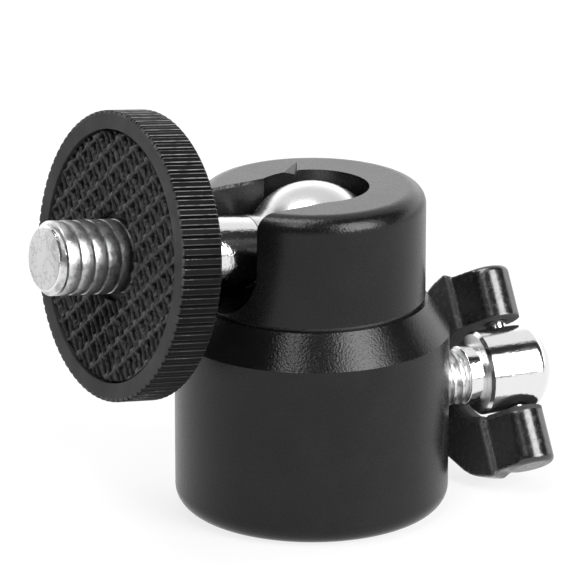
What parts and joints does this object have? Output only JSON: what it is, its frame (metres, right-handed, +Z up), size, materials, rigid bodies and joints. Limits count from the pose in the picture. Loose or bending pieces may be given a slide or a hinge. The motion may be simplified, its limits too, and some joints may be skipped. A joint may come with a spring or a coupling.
{
  "type": "tripod ball head",
  "caption": "Small black tripod ball head: slotted ball housing on a turning base, chrome ball and threaded stud with a knurled lock disc, and a clamp screw with a folding lever.",
  "frame": {"origin": "centre of the base's underside, at the mouth of the tripod socket", "axes": "+Z up along the turning axis, +X out along the clamp screw"},
  "size_m": [0.0494, 0.027, 0.038],
  "materials": {
    "anodised_body": "black anodised aluminium, fine satin bead blast",
    "anodised_disc": "black anodised aluminium, matt, with bright wear on the knurl",
    "bright_chrome": "bright chromium plate",
    "lever_plastic": "black moulded plastic, glossy",
    "pad_rubber": "black rubber with a moulded lattice",
    "adhesive_film": "double-sided adhesive film",
    "acetal": "black acetal, as moulded",
    "spring_steel": "spring steel, phosphated",
    "turned_brass": "turned brass"
  },
  "bodies": {
    "base": {"base_housing": "anodised_body", "pan_washer": "acetal", "pan_snap_ring": "spring_steel"},
    "housing": {"ball_housing": "anodised_body"},
    "pressure": {"plunger": "turned_brass", "ball_cup": "acetal"},
    "ball": {"ball": "bright_chrome"},
    "stud": {"stud": "bright_chrome"},
    "bush": {"disc_bush": "anodised_disc"},
    "disc": {"lock_disc": "anodised_disc", "pad_adhesive": "adhesive_film", "camera_pad": "pad_rubber"},
    "tip": {"clamp_tip": "turned_brass"},
    "screw": {"clamp_screw": "bright_chrome", "clamp_barrel": "bright_chrome", "lever_pin": "bright_chrome"},
    "lever": {"lever": "lever_plastic"}
  },
  "joints": [
    {"name": "housing_pan", "type": "hinge", "parent": "base", "child": "housing", "pos_m": [0, 0, 0], "axis": [0, 0, 1], "range_deg": [-115, 105]},
    {"name": "ball_tilt", "type": "hinge", "parent": "housing", "child": "ball", "pos_m": [0, 0, 0.02316], "axis": [-0.1392, 0.9903, 0], "range_deg": [-8, 97]},
    {"name": "stud_spin", "type": "hinge", "parent": "ball", "child": "stud", "pos_m": [0, 0, 0.02316], "axis": [-0.9816, -0.138, 0.1323], "continuous": true},
    {"name": "disc_travel", "type": "slide", "parent": "stud", "child": "bush", "axis": [-0.9816, -0.138, 0.1323], "range_m": [0, 0.00254]},
    {"name": "disc_turn", "type": "hinge", "parent": "bush", "child": "disc", "pos_m": [-0.01786, -0.00251, 0.02557], "axis": [-0.9816, -0.138, 0.1323], "range_deg": [0, 720]},
    {"name": "clamp_travel", "type": "slide", "parent": "base", "child": "tip", "axis": [1, 0, 0], "range_m": [0, 0.0008]},
    {"name": "clamp_turn", "type": "hinge", "parent": "tip", "child": "screw", "pos_m": [0, 0, 0.00956], "axis": [1, 0, 0], "range_deg": [0, 360]},
    {"name": "plunger_lift", "type": "slide", "parent": "base", "child": "pressure", "axis": [0, 0, 1], "range_m": [-0.0008, 0]},
    {"name": "lever_flip", "type": "hinge", "parent": "screw", "child": "lever", "pos_m": [0.01895, 0, 0.00956], "axis": [0, -0.5592, -0.829], "range_deg": [0, 264]}
  ],
  "couplings": [
    {"joint": "disc_turn", "follows": "disc_travel", "rad_per_m": 4947.4},
    {"joint": "clamp_turn", "follows": "clamp_travel", "rad_per_m": 7854},
    {"joint": "plunger_lift", "follows": "clamp_travel", "ratio": -1}
  ]
}
